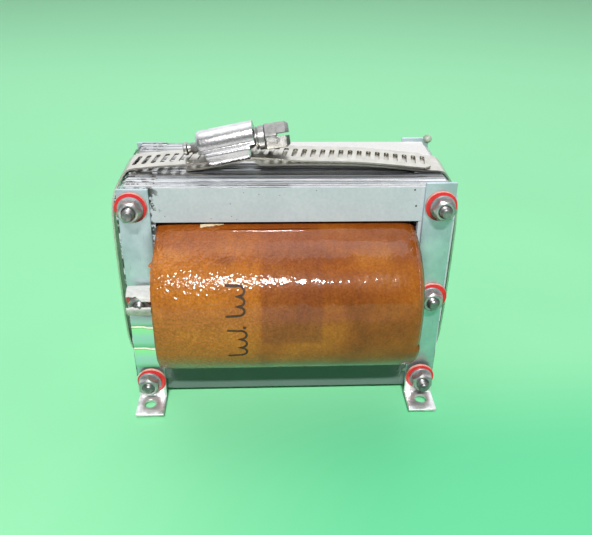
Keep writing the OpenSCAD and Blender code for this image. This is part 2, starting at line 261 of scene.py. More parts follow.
rng = random.Random(41)
bm = bmesh.new()
bars = [
    (core_low.z, core_low.z + limb_w), (core_mid - limb_w, core_mid + limb_w),
    (core_high.z - limb_w, core_high.z),
]
gaps = [(bars[0][1], bars[1][0]), (bars[1][1], bars[2][0])]
outer, inner = core_high.x, core_high.x - limb_w
for i in range(round((core_high.y - core_low.y) / sheet_t)):
    y = core_low.y + (i + 0.5) * sheet_t
    if i % 2 == 0:
        strips = [(-outer, outer, *bar) for bar in bars]
        strips += [(*ends, *gap) for gap in gaps for ends in ((-outer, -inner), (inner, outer))]
    else:
        strips = [(-inner, inner, *bar) for bar in bars]
        strips += [(*ends, core_low.z, core_high.z) for ends in ((-outer, -inner), (inner, outer))]
    for x0, x1, z0, z1 in strips:
        slip = Vector((rng.gauss(0, 0.00007), 0, rng.gauss(0, 0.00009) - 0.00005))
        spot = Vector(((x0 + x1) / 2, y, (z0 + z1) / 2)) + slip
        size = Vector((x1 - x0 - joint_gap, sheet_t * 0.96, z1 - z0 - joint_gap))
        bmesh.ops.create_cube(bm, size=1.0, matrix=Matrix.LocRotScale(spot, None, size))
corners = [
    e for e in bm.edges
    if abs(e.verts[0].co.y - e.verts[1].co.y) > sheet_t / 2
    and abs(e.verts[0].co.x) > core_high.x - 0.0008
    and min(abs(e.verts[0].co.z - core_low.z), abs(e.verts[0].co.z - core_high.z)) < 0.0008
]
bmesh.ops.bevel(
    bm, geom=corners, offset=corner_cut, affect="EDGES", segments=1, profile=0.5, material=-1,
)
for face in bm.faces:
    face.material_index = 0 if abs(face.normal.y) > 0.5 else 1
add_piece(
    "core_sheets", bm, "lamination", [sheet_face, sheet_edge],
    ("core_top_bar", "core_tongue", "core_bottom_bar", "core_limb_left", "core_limb_right"),
)


# ---- Coil ----
# Many layers of enamelled wire with brown varnished paper between them, wound on a card tube.
# The outer wrap is oiled paper under a clear film that has crinkled as the varnish dried, and
# the winding is a little thinner at its ends, so the film draws in there.
wrap_low, wrap_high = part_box("coil_wrap")
coil_half = wrap_high.x
coil_d = wrap_high.y
coil_h = (wrap_high.z - wrap_low.z) / 2
coil_z = (wrap_high.z + wrap_low.z) / 2
round_top, round_low = 2.9, 2.45
end_w = 0.012


def lump(x, y, z):
    return noise.noise(Vector((x, y, z)))


def coil_place(x, angle, inset=0.0):
    """A point of the coil's surface; angle 0 faces the front and 90 the top. The section is
    an oval flattened on all four sides, more so above than below."""
    c, s = -math.cos(math.radians(angle)), math.sin(math.radians(angle))
    power = 2 / (round_top if s > 0 else round_low)
    end = max(0.0, (abs(x) - coil_half + end_w) / end_w)
    draw = (0.0021 * end ** 6 if x > 0 else 0.0008 * end ** 3) * (1.0 if s > -0.2 else 0.4)
    inset += draw - 0.00012 * lump(x * 70, c * 3.4, s * 3.4)
    return Vector((
        x,
        math.copysign((coil_d - inset) * abs(c) ** power, c),
        coil_z + math.copysign((coil_h - inset) * abs(s) ** power, s),
    ))


varnished, tree, shader, place = new_finish("varnished_wrap", Coat_Weight=0.7, Coat_Roughness=0.07)
shader.inputs["Coat IOR"].default_value = 1.55
shader.inputs["Specular IOR Level"].default_value = 0.08
px, py, pz = axes(tree, place)


def patch(x0, x1, z0, z1, soft):
    """1 inside a soft-edged oblong of the wrap's face."""
    return times(
        tree, remap(tree, px, x0 - soft, x0 + soft, smooth=True),
        remap(tree, px, x1 + soft, x1 - soft, smooth=True),
        remap(tree, pz, z0 - soft, z0 + soft, smooth=True),
        remap(tree, pz, z1 + soft, z1 - soft, smooth=True),
    )


cloud = grain(tree, place, 75, 4, 0.55)
fleck = grain(tree, place, 1500, 2, 0.6)
fibre = grain(tree, place, 1.0, 3, 0.6, stretch=(700, 260, 260))
tone = colours(
    tree, cloud,
    (0.30, (0.225, 0.056, 0.006)), (0.5, (0.35, 0.100, 0.009)), (0.72, (0.47, 0.165, 0.016)),
)
# The layers below show through as paler and darker oblongs: x0, x1, z0, z1, softness
for oblong, share, colour in (
    ((-0.060, -0.0095, 0.020, 0.064, 0.0012), 0.55, (0.47, 0.165, 0.016)),
    ((-0.0085, 0.0105, 0.040, 0.075, 0.0010), 0.6, (0.20, 0.052, 0.014)),
    ((-0.045, 0.045, 0.0665, 0.080, 0.0010), 0.5, (0.29, 0.070, 0.011)),
    ((0.034, 0.060, 0.046, 0.062, 0.004), 0.3, (0.45, 0.12, 0.007)),
):
    tone = mix_colour(tree, times(tree, patch(*oblong), share), tone, colour)
flecked = colours(tree, fleck, (0.3, (0.78, 0.74, 0.7)), (0.7, (1.2, 1.2, 1.25)))
tone = mix_colour(tree, 1.0, tone, flecked, "MULTIPLY")
streaked = colours(tree, fibre, (0.35, (0.85, 0.82, 0.8)), (0.65, (1.1, 1.1, 1.1)))
tone = mix_colour(tree, 0.6, tone, streaked, "MULTIPLY")
crinkle = add_node(
    tree, "ShaderNodeTexVoronoi",
    {"Vector": place, "Scale": 820, "Smoothness": 0.5, "Detail": 1.0, "Roughness": 0.4},
    feature="SMOOTH_F1",
).outputs["Distance"]
ripple = grain(tree, place, 1.0, 2, 0.5, stretch=(240, 150, 150))
# Painted shade: the wrap is darkened towards its right end
shade = remap(tree, px, -0.012, 0.040, 0.0, 0.34, smooth=True)
tone = mix_colour(tree, shade, tone, (0.10, 0.022, 0.002))
# The film is crinkled at the left and calm at the right, and has a small fold along its top
calm = remap(tree, px, -0.034, 0.012, 1.0, 0.12, smooth=True)
film = bumps(tree, ripple, 0.0006, 0.5)
film = bumps(tree, times(tree, crinkle, calm), 0.00021, 1.0, film)
fold = times(
    tree, remap(tree, py, -0.0239, -0.0231, smooth=True),
    remap(tree, py, -0.0222, -0.0231, smooth=True), patch(-0.0190, 0.0070, 0.060, 0.080, 0.0050),
)
film = bumps(tree, fold, 0.0006, 1.0, film)
wire(
    tree, shader, Base_Color=tone, Roughness=remap(tree, cloud, 0.3, 0.7, 0.42, 0.32),
    Normal=bumps(tree, fleck, 0.00003, 0.6, film), Coat_Normal=film,
)



def add_grid(bm, columns, rows):
    """A flat grid whose vertices run from -0.5 to 0.5 both ways."""
    made = bmesh.ops.create_grid(bm, x_segments=columns, y_segments=rows, size=0.5)
    return made["verts"]


def face_out(bm):
    bmesh.ops.recalc_face_normals(bm, faces=bm.faces)


def thicken(piece, thickness, offset=-1.0):
    """Gives a skin its wall, inwards unless offset says otherwise."""
    wall = piece.modifiers.new("wall", "SOLIDIFY")
    wall.thickness = thickness
    wall.offset = offset


def refinish(node, finish):
    """Gives a node that stays as it is a finish of its own."""
    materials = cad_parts[node].data.materials
    materials.clear()
    materials.append(finish)


ragged = 0.00025
bm = bmesh.new()
for v in add_grid(bm, 90, 216):
    x, angle = v.co.x * 2 * coil_half, (v.co.y + 0.5) * 360
    if v.co.x < -0.499:
        turn = math.radians(angle)
        x += ragged * lump(math.cos(turn) * 6, math.sin(turn) * 6, v.co.x * 10)
    v.co = coil_place(x, angle)
bmesh.ops.remove_doubles(bm, verts=bm.verts, dist=0.000005)
face_out(bm)
wrap = add_piece("coil_film", bm, "varnished_paper", [varnished], ("coil_wrap",), 60)
thicken(wrap, 0.0007)

# The ends show the paper layers as thin brown edges, with the wire of each layer behind them.
def clouded_finish(name, cloud, *stops, gloss=None, height=None, **sockets):
    """A finish whose colour, roughness and bumps all follow one cloud of noise."""
    made, tree, shader, place = new_finish(name, **sockets)
    cloud = grain(tree, place, *cloud)
    wire(tree, shader, Base_Color=colours(tree, cloud, *stops))
    if gloss:
        wire(tree, shader, Roughness=remap(tree, cloud, 0.3, 0.7, *gloss))
    if height:
        wire(tree, shader, Normal=bumps(tree, cloud, *height))
    return made


paper_edge = clouded_finish(
    "paper_edge", (400, 3), (0.3, (0.20, 0.08, 0.025)), (0.7, (0.50, 0.26, 0.10)), Roughness=0.6,
)
wire_ends, tree, shader, place = new_finish("wire_ends", Roughness=0.38)
tone = colours(
    tree, grain(tree, place, 1600, 2), (0.3, (0.10, 0.025, 0.01)), (0.7, (0.42, 0.13, 0.04)),
)
turns = bumps(tree, grain(tree, place, 1500, 1), 0.0002)
wire(tree, shader, Base_Color=tone, Normal=turns)
rng = random.Random(9)
layers, layer_t, layer_run = 15, 0.00035, 0.003
bm = bmesh.new()
for k in range(layers):
    inset = 0.0009 + k * 0.0016
    for x0, side in ((-coil_half, -1), (coil_half, 1)):
        reach = 0.0004 + rng.random() * 0.0009
        rings = []
        for depth, step in ((layer_run, 0), (reach, 0), (reach, layer_t), (layer_run, layer_t)):
            ring = bmesh.ops.create_circle(bm, segments=72, radius=1.0)["verts"]
            for n, v in enumerate(ring):
                uneven = 0.0002 * lump(n / 5, k * 3.0, side)
                v.co = coil_place(x0 - side * (depth + uneven), n * 5, inset + step)
            rings.append([e for e in bm.edges if e.verts[0] in ring and e.verts[1] in ring])
        for one, other in zip(rings, rings[1:]):
            bmesh.ops.bridge_loops(bm, edges=one + other)
bmesh.ops.recalc_face_normals(bm, faces=bm.faces)
add_piece("coil_layers", bm, "card", [paper_edge], (), 30)
refinish("coil_winding", wire_ends)
refinish("coil_tube", paper_edge)


# ---- Straps ----
# Four flat bars of zinc-plated steel, sheared to length, that stiffen the stack at its
# corners, front and back. The bolts go through them, and each leans by a hair.
strap_zinc, tree, shader, place = new_finish("strap_zinc", Metallic=0.85)
cloud = grain(tree, place, 160, 4, 0.6)
scratch = grain(tree, place, 1.0, 3, 0.6, stretch=(1400, 1400, 160))
tone = colours(tree, cloud, (0.3, (0.43, 0.54, 0.58)), (0.7, (0.58, 0.69, 0.73)))
tone = mix_colour(tree, remap(tree, scratch, 0.62, 0.75), tone, (0.40, 0.44, 0.46))
wire(
    tree, shader, Base_Color=tone, Roughness=remap(tree, cloud, 0.3, 0.7, 0.50, 0.38),
    Normal=bumps(tree, maths(tree, "ADD", scratch, cloud), 0.00004, 0.5),
)

broken = 0.00022
lean = {"front_left": 0.0045, "front_right": -0.0040, "back_left": 0.0012, "back_right": -0.0015}
for where, tilt in lean.items():
    low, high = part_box("strap_" + where)
    middle = (low + high) / 2
    bm = bmesh.new()
    bmesh.ops.create_cube(bm, size=1.0, matrix=Matrix.LocRotScale(middle, None, high - low))
    bmesh.ops.bevel(
        bm, geom=bm.edges[:], offset=broken, affect="EDGES", segments=2, profile=0.5, material=-1,
    )
    bmesh.ops.rotate(bm, verts=bm.verts, cent=middle, matrix=Matrix.Rotation(tilt, 3, "Y"))
    add_piece("flat_strap_" + where, bm, "strap_zinc", [strap_zinc], ("strap_" + where,))


# ---- Feet ----
# Four angles of bright-plated steel, one millimetre thick, clamped under the bottom bolts.
# They are folded by hand round a small radius.
foot_zinc, tree, shader, place = new_finish("foot_zinc", Metallic=0.75)
cloud = grain(tree, place, 210, 3, 0.65)
fine = grain(tree, place, 1100, 2, 0.6)
tone = colours(
    tree, cloud,
    (0.30, (0.50, 0.50, 0.51)), (0.48, (0.78, 0.77, 0.78)), (0.7, (0.92, 0.91, 0.92)),
)
wire(
    tree, shader, Base_Color=tone, Roughness=remap(tree, cloud, 0.3, 0.7, 0.45, 0.28),
    Normal=bumps(tree, fine, 0.00003, 0.6, bumps(tree, cloud, 0.0006, 0.5)),
)
foot_t = 0.001
hole_r = 0.0021
hole_out = 0.005
bend_at = 0.0022
fold_r = 0.0012


def bolt_axis(name):
    """The x and z of a bolt's middle line."""
    low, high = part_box("bolt_" + name)
    return (low.x + high.x) / 2, (low.z + high.z) / 2


def break_edges(piece, width):
    edge = piece.modifiers.new("edge", "BEVEL")
    edge.width = width
    edge.segments = 2
    edge.limit_method = "ANGLE"
    edge.angle_limit = math.radians(50)


for end, side in (("front", -1), ("back", 1)):
    for hand, shift in (("left", -0.0005), ("right", 0.0005)):
        node = f"foot_{end}_{hand}"
        low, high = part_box(node)
        width = high.x - low.x
        root = low.y if side > 0 else high.y
        tip_at = abs((high.y if side > 0 else low.y) - root)
        hole_x = (low.x + high.x) / 2 + shift
        bm = bmesh.new()
        # The flange is a square ring round the hole, drawn out to the front edge and to the fold
        bmesh.ops.create_circle(bm, segments=32, radius=hole_r)
        for v in bmesh.ops.create_circle(bm, segments=32, radius=1.0)["verts"]:
            grow = 1 / max(abs(v.co.x), abs(v.co.y))
            x, y = v.co.x * grow, v.co.y * grow
            reach = (tip_at if y > 0 else bend_at) - foot_t - hole_out
            if abs(x) > 0.99:
                x = (low.x if x < 0 else high.x) - hole_x
            else:
                x *= width * 0.45
            v.co = Vector((x, reach * abs(y), 0))
        bmesh.ops.bridge_loops(bm, edges=bm.edges[:])
        bmesh.ops.translate(bm, verts=bm.verts, vec=(0, foot_t + hole_out, 0))
        back_edge = [e for e in bm.edges if all(abs(v.co.y - bend_at) < 1e-6 for v in e.verts)]
        made = bmesh.ops.spin(
            bm, geom=back_edge, cent=(0, bend_at, fold_r), axis=(-1, 0, 0),
            angle=math.radians(90), steps=6, use_duplicate=False,
        )
        rim = [e for e in made["geom_last"] if isinstance(e, bmesh.types.BMEdge)]
        made = bmesh.ops.extrude_edge_only(bm, edges=rim)["geom"]
        leg = [v for v in made if isinstance(v, bmesh.types.BMVert)]
        bmesh.ops.translate(bm, verts=leg, vec=(0, 0, high.z - foot_t - 0.0014))
        # The leg's top is a half round about the bolt
        bolt_x, bolt_z = bolt_axis("bottom_" + hand)
        for v in leg:
            aside = min(abs(v.co.x - (bolt_x - hole_x)), width / 2)
            crown = math.sqrt((width / 2) ** 2 - aside ** 2)
            v.co.z = min(v.co.z, bolt_z - foot_t + crown - 0.0003)
        for v in bm.verts:
            v.co = Vector((hole_x + v.co.x, root + side * v.co.y, foot_t + v.co.z))
        face_out(bm)
        piece = add_piece(
            f"foot_angle_{end}_{hand}", bm, "foot_zinc", [foot_zinc], (node,), 40,
        )
        thicken(piece, foot_t)
        break_edges(piece, 0.00018)


# ---- Bolts, nuts and washers ----
# Six M4 bolts with the heads at the back, each with a bright-plated nut and flat washer and a
# red fibre washer at both ends, which keeps the bolt off the strap. The front stubs show threads.
bolt_zinc = clouded_finish(
    "bolt_zinc", (420, 3, 0.6), (0.3, (0.28, 0.28, 0.28)), (0.7, (0.54, 0.54, 0.54)),
    gloss=(0.42, 0.26), height=(0.0001, 0.5), Metallic=0.8,
)
bolt_steel = clouded_finish(
    "bolt_steel", (500, 3, 0.6), (0.3, (0.12, 0.12, 0.12)), (0.7, (0.34, 0.34, 0.34)),
    gloss=(0.48, 0.32), height=(0.0001, 0.5), Metallic=0.9,
)
washer_zinc = clouded_finish(
    "washer_zinc", (420, 3, 0.6), (0.3, (0.26, 0.29, 0.30)), (0.7, (0.42, 0.45, 0.46)),
    height=(0.00006, 0.5), Metallic=0.55, Roughness=0.5,
)
red_fibre = clouded_finish(
    "red_fibre", (700, 3, 0.6), (0.3, (0.54, 0.008, 0.012)), (0.7, (0.74, 0.020, 0.026)),
    gloss=(0.5, 0.36), height=(0.00005, 0.5), Coat_Weight=0.25, Coat_Roughness=0.15,
)
fibre_rim = clouded_finish(
    "fibre_rim", (700, 3, 0.6), (0.3, (0.62, 0.22, 0.17)), (0.7, (0.84, 0.46, 0.38)),
    Roughness=0.6,
)


def turn_up(bm, centre, axis, outline, steps=40, closed=True):
    """Turns an outline of (radius, height) points round a level axis, as on a lathe. An
    outline that isn't closed starts and ends on the axis."""
    centre, axis = Vector(centre), Vector(axis)
    points = [bm.verts.new(centre + Vector((0, 0, r)) + axis * h) for r, h in outline]
    pairs = list(zip(points, points[1:])) + ([(points[-1], points[0])] if closed else [])
    edges = [bm.edges.new(pair) for pair in pairs]
    bmesh.ops.spin(
        bm, geom=points + edges, cent=centre, axis=axis, angle=math.tau, steps=steps,
        use_merge=True,
    )
    if not closed:
        near = [v for v in bm.verts if (v.co - centre).cross(axis).length < 1e-6]
        bmesh.ops.remove_doubles(bm, verts=near, dist=1e-6)


def add_skin(bm, rings, around, spot):
    """A closed skin of rings; spot(ring, turn) says where it goes, with turn from 0 to 1."""
    made = add_grid(bm, rings - 1, around)
    for v in made:
        v.co = spot(round((v.co.x + 0.5) * (rings - 1)), (v.co.y + 0.5) % 1.0)
    bmesh.ops.remove_doubles(bm, verts=made, dist=1e-6)


def hexagon_r(flats, angle):
    """How far a hexagon's side lies from its middle in this direction."""
    return flats / 2 / math.cos((angle % (math.tau / 6)) - math.tau / 12)


def add_hexagon(bm, centre, outward, turn, flats, height, bore):
    """A nut, or a head where bore is 0. Its outer face is chamfered to a round."""
    face_r = flats / 2 * 0.88
    lip_r = bore + 0.0003 if bore else 0.0004
    chamfer = math.tan(math.radians(35))

    def spot(ring, share):
        angle = share * math.tau
        r = hexagon_r(flats, angle)
        r, h = (
            (r - 0.00012, 0.0), (r, height * 0.12), (r, height - (r - face_r) * chamfer),
            (face_r, height), (lip_r, height), (bore, height * 0.9), (bore, height * 0.02),
        )[ring]
        angle += turn
        return Vector(centre) + Vector((r * math.cos(angle), outward * h, r * math.sin(angle)))

    add_skin(bm, 7 if bore else 5, 48, spot)


def add_thread(bm, centre, axis, root, crest, pitch, turns):
    """A screw's rib: a blunt four-sided wire wound round the axis."""
    centre, axis, sunk = Vector(centre), Vector(axis), root * 0.97
    rib = ((sunk, 0.0), (crest, pitch * 0.42), (crest, pitch * 0.55), (sunk, pitch * 0.98))
    face = bm.faces.new([bm.verts.new(centre + Vector((0, 0, r)) + axis * h) for r, h in rib])
    steps = round(20 * turns)
    bmesh.ops.spin(
        bm, geom=[face], cent=centre, axis=axis, angle=math.tau * turns, steps=steps,
        dvec=axis * pitch * turns / steps,
    )


def washer_outline(bore, r, t, broken):
    """Half a washer's section, with the rim's edges broken."""
    return [
        (bore, 0), (r - broken, 0), (r, broken), (r, t - broken), (r - broken, t), (bore, t),
    ]


bolt_r, bolt_root, bolt_pitch = 0.002, 0.0017, 0.0007
hex_flats, head_h, nut_h = 0.0066, 0.0028, 0.0032
flat_bore, flat_r, flat_t = 0.00215, 0.00405, 0.0008
fibre_bore, fibre_r, fibre_t = 0.0026, 0.0051, 0.0012
along_y = (0, 1, 0)
flat_outline = washer_outline(flat_bore, flat_r, flat_t, 0.0001)
nut_turns = {"top": (0, 2), "mid": (10, 28), "bottom": (31, 25)}
kinds = (("flat", "front"), ("flat", "back"), ("fibre", "back"))
washers = {kind: bmesh.new() for kind in kinds}
for row, turns in nut_turns.items():
    for hand, turn in zip(("left", "right"), turns):
        name = f"{row}_{hand}"
        x, z = bolt_axis(name)
        low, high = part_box("bolt_" + name)
        tip, head_y = low.y, high.y - head_h
        nut_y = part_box("nut_" + name)[1].y
        bm = bmesh.new()
        turn_up(bm, (x, 0, z), along_y, [
            (0, tip), (bolt_r - 0.0007, tip), (bolt_root, tip + 0.0004), (bolt_root, nut_y),
            (bolt_r, nut_y), (bolt_r, head_y - 0.0001), (0, head_y - 0.0001),
        ], closed=False)
        add_thread(bm, (x, tip + 0.0002, z), along_y, bolt_root, bolt_r, bolt_pitch, 7)
        add_hexagon(bm, (x, head_y, z), 1, math.radians(turn * 1.7), hex_flats, head_h, 0)
        face_out(bm)
        add_piece("bolt_m4_" + name, bm, "bolt_zinc", [bolt_steel], ("bolt_" + name,), 30)

        bm = bmesh.new()
        add_hexagon(bm, (x, nut_y, z), -1, -math.radians(turn), hex_flats, nut_h, bolt_r)
        face_out(bm)
        add_piece("nut_m4_" + name, bm, "bolt_zinc", [bolt_zinc], ("nut_" + name,), 30)

        node = "fibre_washer_" + name
        low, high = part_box(node)
        ring_x, r, broken = (low.x + high.x) / 2, (high.x - low.x) / 2, 0.00018
        outline = washer_outline(fibre_bore, r, high.y - low.y, broken)
        outline.insert(2, (r - broken * 0.3, broken * 0.3))
        bm = bmesh.new()
        turn_up(bm, (ring_x, low.y, z), along_y, outline, 64)
        face_out(bm)
        for face in bm.faces:
            out = face.calc_center_median() - Vector((ring_x, 0, z))
            on_rim = abs(face.normal.y) < 0.8 and math.hypot(out.x, out.z) > 0.9 * r
            face.material_index = 1 if on_rim else 0
        add_piece("fibre_ring_" + name, bm, "red_fibre", [red_fibre, fibre_rim], (node,), 30)

        turn_up(washers["flat", "front"], (x, low.y - flat_t, z), along_y, flat_outline, 56)
        turn_up(washers["flat", "back"], (x, head_y - flat_t, z), along_y, flat_outline, 56)
        outline = washer_outline(fibre_bore, fibre_r, fibre_t, broken)
        low_y = head_y - flat_t - fibre_t
        turn_up(washers["fibre", "back"], (x, low_y, z), along_y, outline, 56)

for (kind, end), bm in washers.items():
    slot, finish = ("red_fibre", red_fibre) if kind == "fibre" else ("bolt_zinc", washer_zinc)
    face_out(bm)
    add_piece(f"{kind}_rings_{end}", bm, slot, [finish], (f"{kind}_washers_{end}",), 30)


# ---- Clamp band ----
# A worm-drive band of thin stainless strip pulled round the whole core. Slanted slots are
# pierced through its tail, which passes through the housing and lies on the plain run.
stainless, tree, shader, place = new_finish("stainless", Metallic=1.0)
cloud = grain(tree, place, 260, 3, 0.6)
brush = grain(tree, place, 1.0, 3, 0.6, stretch=(90, 2600, 900))
tone = colours(tree, cloud, (0.3, (0.47, 0.445, 0.39)), (0.7, (0.64, 0.61, 0.55)))
wire(
    tree, shader, Base_Color=tone, Roughness=remap(tree, brush, 0.3, 0.7, 0.26, 0.36),
    Normal=bumps(tree, brush, 0.00003, 0.5),
)
refinish("clamp_band", stainless)


# ---- Screw housing ----
# One pressing of the same steel: a half-round barrel over the worm, closed at the pin's end, and
# a saddle below it whose skirts are rolled under both layers of the band.
housing_bright, tree, shader, place = new_finish("housing_bright", Metallic=1.0)
cloud = grain(tree, place, 300, 3, 0.6)
dimples = grain(tree, place, 1700, 2, 0.5)
tone = colours(tree, cloud, (0.3, (0.51, 0.505, 0.51)), (0.7, (0.70, 0.695, 0.70)))
wire(
    tree, shader, Base_Color=tone, Roughness=remap(tree, cloud, 0.3, 0.7, 0.30, 0.20),
    Normal=bumps(tree, dimples, 0.00006, 0.9),
)
clamp_turn = Matrix.Rotation(math.radians(-0.83), 4, "Z")
clamp_place = Matrix.Translation((0.0, -0.0013, 0.0)) @ clamp_turn


def along_clamp(rise, tilt):
    """The frame of the housing or of the screw: its origin over the core, x towards the head."""
    middle = Matrix.Translation((-0.0199, 0.0, core_high.z + rise))
    return clamp_place @ middle @ Matrix.Rotation(math.radians(-tilt), 4, "Y")


housing_turn = along_clamp(0.00837, 12.2)
barrel_r, barrel_low = 0.0049, -0.0008
# The barrel's radius at each place along it; it closes to a dome round the screw's pin
stations = [
    (-0.0096, 0.0019), (-0.0096, 0.0034), (-0.00958, 0.0038), (-0.0095, 0.00415),
    (-0.00932, 0.00445), (-0.00902, 0.0047), (-0.0086, 0.00485), (-0.0080, barrel_r),
    (-0.004, barrel_r), (0, barrel_r), (0.004, barrel_r), (0.0085, barrel_r),
    (0.0093, 0.00487), (0.00955, 0.0048), (0.0096, 0.0047),
]
# Its lower rims flare out by these steps of y and z
lips = [(0.00075, -0.00042), (0.00055, -0.00012), (0.00022, 0.00012), (0.0, 0.0005)]
arc_steps = 30
around = arc_steps + 2 * len(lips)
bm = bmesh.new()
for v in add_grid(bm, len(stations) - 1, around):
    x, r = stations[round((v.co.x + 0.5) * (len(stations) - 1))]
    k = round((v.co.y + 0.5) * around)
    a = math.pi * min(max(k - len(lips), 0), arc_steps) / arc_steps
    y, z = -r * math.cos(a), r * math.sin(a)
    side, rim = (-1, k) if k < around / 2 else (1, around - k)
    if rim < len(lips):
        y, z = side * (r + lips[rim][0]), barrel_low + lips[rim][1]
    v.co = Vector((x, y, z))
bmesh.ops.remove_doubles(bm, verts=bm.verts, dist=1e-7)
face_out(bm)
bmesh.ops.transform(bm, matrix=housing_turn, verts=bm.verts)
barrel = add_piece("screw_barrel", bm, "stainless", [housing_bright], ("clamp_housing",), 50)
thicken(barrel, 0.0006)
break_edges(barrel, 0.00012)

# The saddle's side, as (y, z) from under the band up to the barrel
skirt = [
    (-0.0062, -0.0057), (-0.0069, -0.0056), (-0.0073, -0.0053), (-0.0076, -0.0048),
    (-0.0078, -0.0041), (-0.0078, -0.0033), (-0.0078, -0.0026), (-0.0078, -0.0020),
    (-0.0077, -0.0015), (-0.0074, -0.00115), (-0.0069, -0.00095), (-0.0062, -0.0009),
    (-0.0052, -0.0009),
]
bm = bmesh.new()
for side in (1, -1):
    for v in add_grid(bm, 12, len(skirt) - 1):
        y, z = skirt[round((v.co.y + 0.5) * (len(skirt) - 1))]
        cut_back = max(0.0, min(1.0, (-0.0038 - z) / 0.0019))
        x0, x1 = -0.0069 + 0.0019 * cut_back ** 1.3, 0.0079 - 0.0009 * cut_back
        v.co = Vector((x0 + (v.co.x + 0.5) * (x1 - x0), y * side, z))
bmesh.ops.remove_doubles(bm, verts=bm.verts, dist=1e-6)
face_out(bm)
bmesh.ops.transform(bm, matrix=housing_turn, verts=bm.verts)
saddle = add_piece("screw_saddle", bm, "stainless", [housing_bright], (), 50)
thicken(saddle, 0.0005)
break_edges(saddle, 0.00012)


def slice_off(bm, at, facing):
    """Takes away what lies on the facing side of a plane, and closes the cut."""
    cut = bmesh.ops.bisect_plane(
        bm, geom=bm.verts[:] + bm.edges[:] + bm.faces[:], plane_co=at, plane_no=facing,
        clear_outer=True,
    )
    rim = [e for e in cut["geom_cut"] if isinstance(e, bmesh.types.BMEdge)]
    bmesh.ops.edgeloop_fill(bm, edges=rim)


# The end wall at the screw's head, cut open below for the neck that runs in it
along_x = (1, 0, 0)
bm = bmesh.new()
turn_up(bm, (0, 0, 0), along_x, [
    (0.0021, 0.0089), (0.0046, 0.0089), (0.0047, 0.0090), (0.0047, 0.0094),
    (0.0046, 0.0095), (0.0021, 0.0095),
], 48)
face_out(bm)
slice_off(bm, (0, 0, -0.0019), (0, 0, -1))
bmesh.ops.transform(bm, matrix=housing_turn, verts=bm.verts)
add_piece("screw_end_wall", bm, "stainless", [housing_bright], (), 30)


# ---- Clamp screw ----
# A turned steel worm whose thread runs in the band's slots. Its pin is riveted over at one
# end, and at the other it has a collar and a hexagon head with a slot across it.
screw_bright = clouded_finish(
    "screw_bright", (380, 3, 0.6), (0.3, (0.22, 0.22, 0.215)), (0.7, (0.40, 0.395, 0.385)),
    gloss=(0.46, 0.34), height=(0.00015, 0.6), Metallic=1.0,
)
screw_turn = along_clamp(0.0076, 9.0)
neck_r, worm_r, worm_crest, worm_pitch = 0.0017, 0.0022, 0.0031, 0.00311
bm = bmesh.new()
turn_up(bm, (0, 0, 0), along_x, [
    (0, -0.0144), (0.0019, -0.0144), (0.00225, -0.0141), (0.00225, -0.0133),
    (0.0020, -0.0130), (0.0016, -0.01285), (0.0015, -0.0120), (neck_r, -0.0116),
    (neck_r, -0.0072), (worm_r, -0.0070), (worm_r, 0.0086), (neck_r, 0.0088),
    (neck_r, 0.0098), (0.0036, 0.0099), (0.0038, 0.01005), (0.0038, 0.0104),
    (0.0036, 0.01055), (0.0033, 0.0106), (0.0033, 0.01075), (0.0037, 0.01085),
    (0.0040, 0.0110), (0.0040, 0.0129), (0.0038, 0.0131), (0.0034, 0.01325), (0, 0.01325),
], 48, closed=False)
add_thread(bm, (-0.0070, 0, 0), along_x, worm_r, worm_crest, worm_pitch, 4.6)

# The head, as rows of (share of the hexagon, x), with its corners turned round
head_flats, head_corner = 0.0084, 0.00475
rows = [
    (0.0, 0.0131), (0.95, 0.0131), (1.0, 0.0134), (1.0, 0.0202), (0.80, 0.0211), (0.0, 0.0211),
]


def head_spot(ring, share):
    size, x = rows[ring]
    angle = share * math.tau
    r = min(hexagon_r(head_flats, angle), head_corner) * size
    if ring == 3:
        x -= max(0.0, r - 0.0040) * 0.6
    return Vector((x, r * math.cos(angle), r * math.sin(angle)))


head = bmesh.new()
add_skin(head, len(rows), 48, head_spot)
face_out(head)
# The slot stays free between two cheeks and a floor, which are each cut from the whole head
slot_half, slot_floor = 0.0006, 0.0170
cheek_from = slot_floor - 0.0001
head_turn = Matrix.Rotation(math.radians(-20.5), 3, "X")
for cuts in (
    [((cheek_from, 0, 0), (-1, 0, 0)), ((0, 0, slot_half), (0, 0, -1))],
    [((cheek_from, 0, 0), (-1, 0, 0)), ((0, 0, -slot_half), (0, 0, 1))],
    [((slot_floor, 0, 0), (1, 0, 0))],
):
    piece = head.copy()
    for at, facing in cuts:
        slice_off(piece, at, facing)
    bmesh.ops.rotate(piece, verts=piece.verts, cent=(0, 0, 0), matrix=head_turn)
    part_mesh = bpy.data.meshes.new("head_part")
    piece.to_mesh(part_mesh)
    bm.from_mesh(part_mesh)
    bpy.data.meshes.remove(part_mesh)
    piece.free()
head.free()
face_out(bm)
bmesh.ops.transform(bm, matrix=screw_turn, verts=bm.verts)
add_piece("worm_screw", bm, "screw_steel", [screw_bright], ("clamp_screw",), 30)


